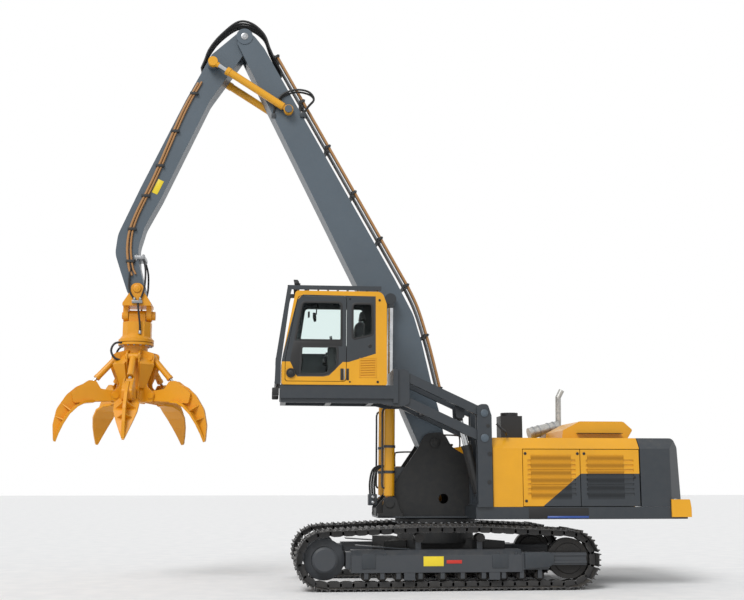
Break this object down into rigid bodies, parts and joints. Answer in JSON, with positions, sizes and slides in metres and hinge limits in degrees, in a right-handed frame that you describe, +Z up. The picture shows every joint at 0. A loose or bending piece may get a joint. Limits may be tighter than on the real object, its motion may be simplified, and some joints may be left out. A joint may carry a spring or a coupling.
{
  "type": "tracked material handler",
  "caption": "Tracked material handler with a cab raised on parallel arms, a tall boom and bent stick, and a hanging grab with curved tines.",
  "frame": {"origin": "on the ground, in the middle of the machine's box as it stands; the slew axis is at x = 1.29 m", "axes": "+Z up, +X to the machine's rear, -Y to its left, where the cab is"},
  "size_m": [10.6683, 3.19, 9.925],
  "materials": {
    "slate_paint": "satin blue-grey machine paint",
    "dark_paint": "satin dark grey machine paint",
    "black_paint": "matt black chassis paint",
    "yellow_paint": "glossy yellow machine paint",
    "track_steel": "dark rolled steel, rubbed on edges",
    "chrome_rod": "hard chrome",
    "muffler_steel": "aluminised sheet",
    "cast_block": "painted castings",
    "clear_glass": "lightly tinted cab glass",
    "seat_cloth": "dark woven cloth",
    "cab_plastic": "grained dark plastic",
    "black_plastic": "moulded black plastic"
  },
  "bodies": {
    "undercarriage": {"car_body": "black_paint", "slew_ring": "black_paint", "track_frame_left": "black_paint", "track_frame_right": "black_paint", "track_left": "track_steel", "track_right": "track_steel", "sprockets": "black_paint", "idlers": "track_steel", "rollers": "track_steel"},
    "upper": {"platform": "dark_paint", "boom_pedestal": "black_paint", "riser": "dark_paint", "housing": "yellow_paint", "engine_block": "cast_block", "counterweight": "dark_paint", "tail_plates": "yellow_paint", "side_boxes": "yellow_paint", "air_cleaner": "black_plastic", "exhaust": "muffler_steel"},
    "door_left_front": {"door_left_front": "yellow_paint"},
    "door_left_rear": {"door_left_rear": "yellow_paint"},
    "door_right_front": {"door_right_front": "yellow_paint"},
    "door_right_rear": {"door_right_rear": "yellow_paint"},
    "hood_lid": {"hood_lid": "yellow_paint"},
    "lift_arm_lower": {"lift_arm_lower": "dark_paint"},
    "lift_arm_upper": {"lift_arm_upper": "dark_paint"},
    "lift_ram_barrels": {"lift_barrels": "black_paint"},
    "lift_ram_rods": {"lift_rods": "chrome_rod"},
    "cab": {"cab_carrier": "dark_paint", "cab_shell": "yellow_paint", "cab_glass": "clear_glass", "seat": "seat_cloth", "desks": "cab_plastic", "cab_guards": "dark_paint"},
    "cab_door": {"cab_door": "dark_paint", "door_glass": "clear_glass"},
    "boom": {"boom": "slate_paint"},
    "boom_ram_barrels": {"boom_ram_barrels": "yellow_paint"},
    "boom_ram_rods": {"boom_ram_rods": "chrome_rod"},
    "stick": {"stick": "slate_paint"},
    "stick_ram_barrels": {"stick_ram_barrels": "yellow_paint"},
    "stick_ram_rods": {"stick_ram_rods": "chrome_rod"},
    "hanger": {"hanger": "yellow_paint"},
    "grab_head": {"grab_head": "yellow_paint"},
    "grab_hub": {"grab_hub": "yellow_paint"},
    "tine_1": {"tine_1": "yellow_paint"},
    "tine_barrel_1": {"tine_barrel_1": "yellow_paint"},
    "tine_rod_1": {"tine_rod_1": "chrome_rod"},
    "tine_2": {"tine_2": "yellow_paint"},
    "tine_barrel_2": {"tine_barrel_2": "yellow_paint"},
    "tine_rod_2": {"tine_rod_2": "chrome_rod"},
    "tine_3": {"tine_3": "yellow_paint"},
    "tine_barrel_3": {"tine_barrel_3": "yellow_paint"},
    "tine_rod_3": {"tine_rod_3": "chrome_rod"},
    "tine_4": {"tine_4": "yellow_paint"},
    "tine_barrel_4": {"tine_barrel_4": "yellow_paint"},
    "tine_rod_4": {"tine_rod_4": "chrome_rod"},
    "tine_5": {"tine_5": "yellow_paint"},
    "tine_barrel_5": {"tine_barrel_5": "yellow_paint"},
    "tine_rod_5": {"tine_rod_5": "chrome_rod"}
  },
  "joints": [
    {"name": "slew", "type": "hinge", "parent": "undercarriage", "child": "upper", "pos_m": [1.291, 0, 1.105], "axis": [0, 0, 1], "continuous": true},
    {"name": "boom_lift", "type": "hinge", "parent": "upper", "child": "boom", "pos_m": [1.241, 0, 2.4], "axis": [0, 1, 0], "range_deg": [-62, 8]},
    {"name": "boom_ram_turn", "type": "hinge", "parent": "upper", "child": "boom_ram_barrels", "pos_m": [0.426, 0, 1.372], "axis": [0, 1, 0], "range_deg": [-49.6, 6.8]},
    {"name": "boom_ram_stroke", "type": "slide", "parent": "boom_ram_barrels", "child": "boom_ram_rods", "axis": [0.0094, 0, 1], "range_m": [-1.169, 0.155]},
    {"name": "stick_swing", "type": "hinge", "parent": "boom", "child": "stick", "pos_m": [-2.189, 0, 9.775], "axis": [0, -1, 0], "range_deg": [-78, 6]},
    {"name": "stick_ram_turn", "type": "hinge", "parent": "boom", "child": "stick_ram_barrels", "pos_m": [-1.372, 0, 8.367], "axis": [0, -1, 0], "range_deg": [-18.9, 1.9]},
    {"name": "stick_ram_stroke", "type": "slide", "parent": "stick_ram_barrels", "child": "stick_ram_rods", "axis": [-0.8452, 0, 0.5345], "range_m": [-0.062, 0.751]},
    {"name": "cab_lift", "type": "hinge", "parent": "upper", "child": "lift_arm_lower", "pos_m": [1.913, -1.065, 2.44], "axis": [0, 1, 0], "range_deg": [-80, 12]},
    {"name": "cab_lift_guide", "type": "hinge", "parent": "upper", "child": "lift_arm_upper", "pos_m": [1.913, -1.065, 2.85], "axis": [0, 1, 0], "range_deg": [-80, 12]},
    {"name": "cab_level", "type": "hinge", "parent": "lift_arm_lower", "child": "cab", "pos_m": [0.573, -1.065, 3.06], "axis": [0, 1, 0], "range_deg": [-12, 80]},
    {"name": "lift_ram_turn", "type": "hinge", "parent": "upper", "child": "lift_ram_barrels", "pos_m": [1.876, -1.065, 1.48], "axis": [0, 1, 0], "range_deg": [-2.1, 10.9]},
    {"name": "lift_ram_stroke", "type": "slide", "parent": "lift_ram_barrels", "child": "lift_ram_rods", "axis": [-0.2319, 0, 0.9727], "range_m": [-0.398, 0.064]},
    {"name": "cab_door_swing", "type": "hinge", "parent": "cab", "child": "cab_door", "pos_m": [-0.384, -1.548, 4], "axis": [0, 0, 1], "range_deg": [0, 170]},
    {"name": "door_left_front_swing", "type": "hinge", "parent": "upper", "child": "door_left_front", "pos_m": [2.552, -1.425, 1.8], "axis": [0, 0, -1], "range_deg": [0, 110]},
    {"name": "door_left_rear_swing", "type": "hinge", "parent": "upper", "child": "door_left_rear", "pos_m": [4.53, -1.425, 1.8], "axis": [0, 0, 1], "range_deg": [0, 110]},
    {"name": "door_right_front_swing", "type": "hinge", "parent": "upper", "child": "door_right_front", "pos_m": [2.552, 1.425, 1.8], "axis": [0, 0, 1], "range_deg": [0, 110]},
    {"name": "door_right_rear_swing", "type": "hinge", "parent": "upper", "child": "door_right_rear", "pos_m": [4.53, 1.425, 1.8], "axis": [0, 0, -1], "range_deg": [0, 110]},
    {"name": "hood_lid_swing", "type": "hinge", "parent": "upper", "child": "hood_lid", "pos_m": [4.613, 0, 2.501], "axis": [0, 1, 0], "range_deg": [0, 70]},
    {"name": "grab_swing", "type": "hinge", "parent": "stick", "child": "hanger", "pos_m": [-3.971, 0, 5.065], "axis": [0, 1, 0], "range_deg": [-28, 75]},
    {"name": "grab_sway", "type": "hinge", "parent": "hanger", "child": "grab_head", "pos_m": [-3.984, 0, 4.617], "axis": [1, 0, 0], "range_deg": [-60, 60]},
    {"name": "grab_turn", "type": "hinge", "parent": "grab_head", "child": "grab_hub", "pos_m": [-3.984, 0, 4.135], "axis": [0, 0, 1], "continuous": true},
    {"name": "tine_1_close", "type": "hinge", "parent": "grab_hub", "child": "tine_1", "pos_m": [-3.984, -0.35, 3.2], "axis": [1, 0, 0], "range_deg": [-4, 64]},
    {"name": "tine_ram_1_turn", "type": "hinge", "parent": "grab_hub", "child": "tine_barrel_1", "pos_m": [-3.984, -0.33, 3.86], "axis": [1, 0, 0], "range_deg": [-1.8, 20.7]},
    {"name": "tine_ram_1_stroke", "type": "slide", "parent": "tine_barrel_1", "child": "tine_rod_1", "axis": [0, -0.6668, -0.7452], "range_m": [-0.027, 0.382]},
    {"name": "tine_2_close", "type": "hinge", "parent": "grab_hub", "child": "tine_2", "pos_m": [-4.31687, -0.10816, 3.2], "axis": [0.309, -0.9511, 0], "range_deg": [-4, 64]},
    {"name": "tine_ram_2_turn", "type": "hinge", "parent": "grab_hub", "child": "tine_barrel_2", "pos_m": [-4.29785, -0.10198, 3.86], "axis": [0.309, -0.9511, 0], "range_deg": [-1.8, 20.7]},
    {"name": "tine_ram_2_stroke", "type": "slide", "parent": "tine_barrel_2", "child": "tine_rod_2", "axis": [-0.6342, -0.2061, -0.7452], "range_m": [-0.027, 0.382]},
    {"name": "tine_3_close", "type": "hinge", "parent": "grab_hub", "child": "tine_3", "pos_m": [-4.18972, 0.28316, 3.2], "axis": [-0.809, -0.5878, 0], "range_deg": [-4, 64]},
    {"name": "tine_ram_3_turn", "type": "hinge", "parent": "grab_hub", "child": "tine_barrel_3", "pos_m": [-4.17797, 0.26698, 3.86], "axis": [-0.809, -0.5878, 0], "range_deg": [-1.8, 20.7]},
    {"name": "tine_ram_3_stroke", "type": "slide", "parent": "tine_barrel_3", "child": "tine_rod_3", "axis": [-0.3919, 0.5394, -0.7452], "range_m": [-0.027, 0.382]},
    {"name": "tine_4_close", "type": "hinge", "parent": "grab_hub", "child": "tine_4", "pos_m": [-3.77828, 0.28316, 3.2], "axis": [-0.809, 0.5878, 0], "range_deg": [-4, 64]},
    {"name": "tine_ram_4_turn", "type": "hinge", "parent": "grab_hub", "child": "tine_barrel_4", "pos_m": [-3.79003, 0.26698, 3.86], "axis": [-0.809, 0.5878, 0], "range_deg": [-1.8, 20.7]},
    {"name": "tine_ram_4_stroke", "type": "slide", "parent": "tine_barrel_4", "child": "tine_rod_4", "axis": [0.3919, 0.5394, -0.7452], "range_m": [-0.027, 0.382]},
    {"name": "tine_5_close", "type": "hinge", "parent": "grab_hub", "child": "tine_5", "pos_m": [-3.65113, -0.10816, 3.2], "axis": [0.309, 0.9511, 0], "range_deg": [-4, 64]},
    {"name": "tine_ram_5_turn", "type": "hinge", "parent": "grab_hub", "child": "tine_barrel_5", "pos_m": [-3.67015, -0.10198, 3.86], "axis": [0.309, 0.9511, 0], "range_deg": [-1.8, 20.7]},
    {"name": "tine_ram_5_stroke", "type": "slide", "parent": "tine_barrel_5", "child": "tine_rod_5", "axis": [0.6342, -0.2061, -0.7452], "range_m": [-0.027, 0.382]}
  ],
  "couplings": [
    {"joint": "boom_ram_turn", "follows": "boom_lift", "ratio": 0.7926},
    {"joint": "boom_ram_stroke", "follows": "boom_lift", "m_per_rad": 1.0755},
    {"joint": "stick_ram_turn", "follows": "stick_swing", "ratio": 0.236},
    {"joint": "stick_ram_stroke", "follows": "stick_swing", "m_per_rad": -0.548},
    {"joint": "cab_lift_guide", "follows": "cab_lift", "ratio": 1},
    {"joint": "cab_level", "follows": "cab_lift", "ratio": -1},
    {"joint": "lift_ram_turn", "follows": "cab_lift", "ratio": -0.1298},
    {"joint": "lift_ram_stroke", "follows": "cab_lift", "m_per_rad": 0.2816},
    {"joint": "tine_ram_1_turn", "follows": "tine_1_close", "ratio": 0.3161},
    {"joint": "tine_ram_1_stroke", "follows": "tine_1_close", "m_per_rad": 0.3397},
    {"joint": "tine_2_close", "follows": "tine_1_close", "ratio": 1},
    {"joint": "tine_ram_2_turn", "follows": "tine_1_close", "ratio": 0.3161},
    {"joint": "tine_ram_2_stroke", "follows": "tine_1_close", "m_per_rad": 0.3397},
    {"joint": "tine_3_close", "follows": "tine_1_close", "ratio": 1},
    {"joint": "tine_ram_3_turn", "follows": "tine_1_close", "ratio": 0.3161},
    {"joint": "tine_ram_3_stroke", "follows": "tine_1_close", "m_per_rad": 0.3397},
    {"joint": "tine_4_close", "follows": "tine_1_close", "ratio": 1},
    {"joint": "tine_ram_4_turn", "follows": "tine_1_close", "ratio": 0.3161},
    {"joint": "tine_ram_4_stroke", "follows": "tine_1_close", "m_per_rad": 0.3397},
    {"joint": "tine_5_close", "follows": "tine_1_close", "ratio": 1},
    {"joint": "tine_ram_5_turn", "follows": "tine_1_close", "ratio": 0.3161},
    {"joint": "tine_ram_5_stroke", "follows": "tine_1_close", "m_per_rad": 0.3397}
  ]
}
